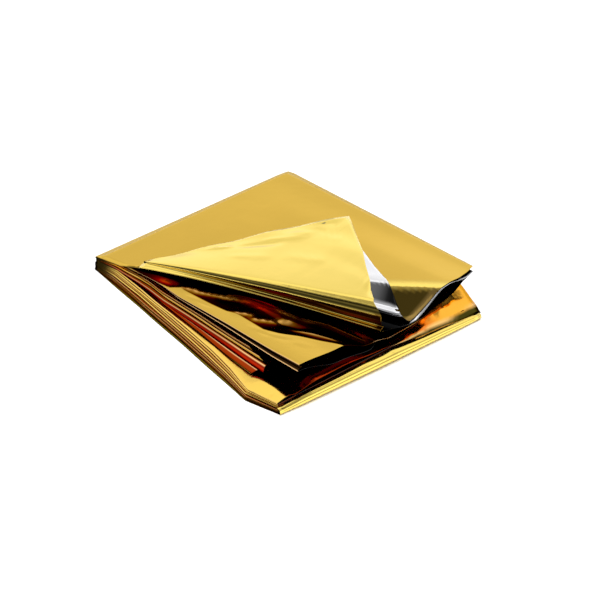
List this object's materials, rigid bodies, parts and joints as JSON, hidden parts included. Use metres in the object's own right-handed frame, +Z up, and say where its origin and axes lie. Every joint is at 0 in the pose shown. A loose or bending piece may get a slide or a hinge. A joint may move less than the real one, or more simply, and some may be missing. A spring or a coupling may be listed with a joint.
{
  "type": "folded emergency foil blanket",
  "caption": "Thin gold and silver metallised film blanket folded into a flat rectangular packet, one corner of its top sheet turned back.",
  "frame": {"origin": "centre of the packet's bounding box in plan, on the surface it rests on", "axes": "+Z up, +X from the back-left edge towards the rolled front-right edge, +Y towards the back-right edge"},
  "size_m": [0.2862, 0.252, 0.0402],
  "materials": {
    "gold_film": "polished"
  },
  "bodies": {
    "root": {"foil_blanket": "gold_film"}
  },
  "joints": []
}
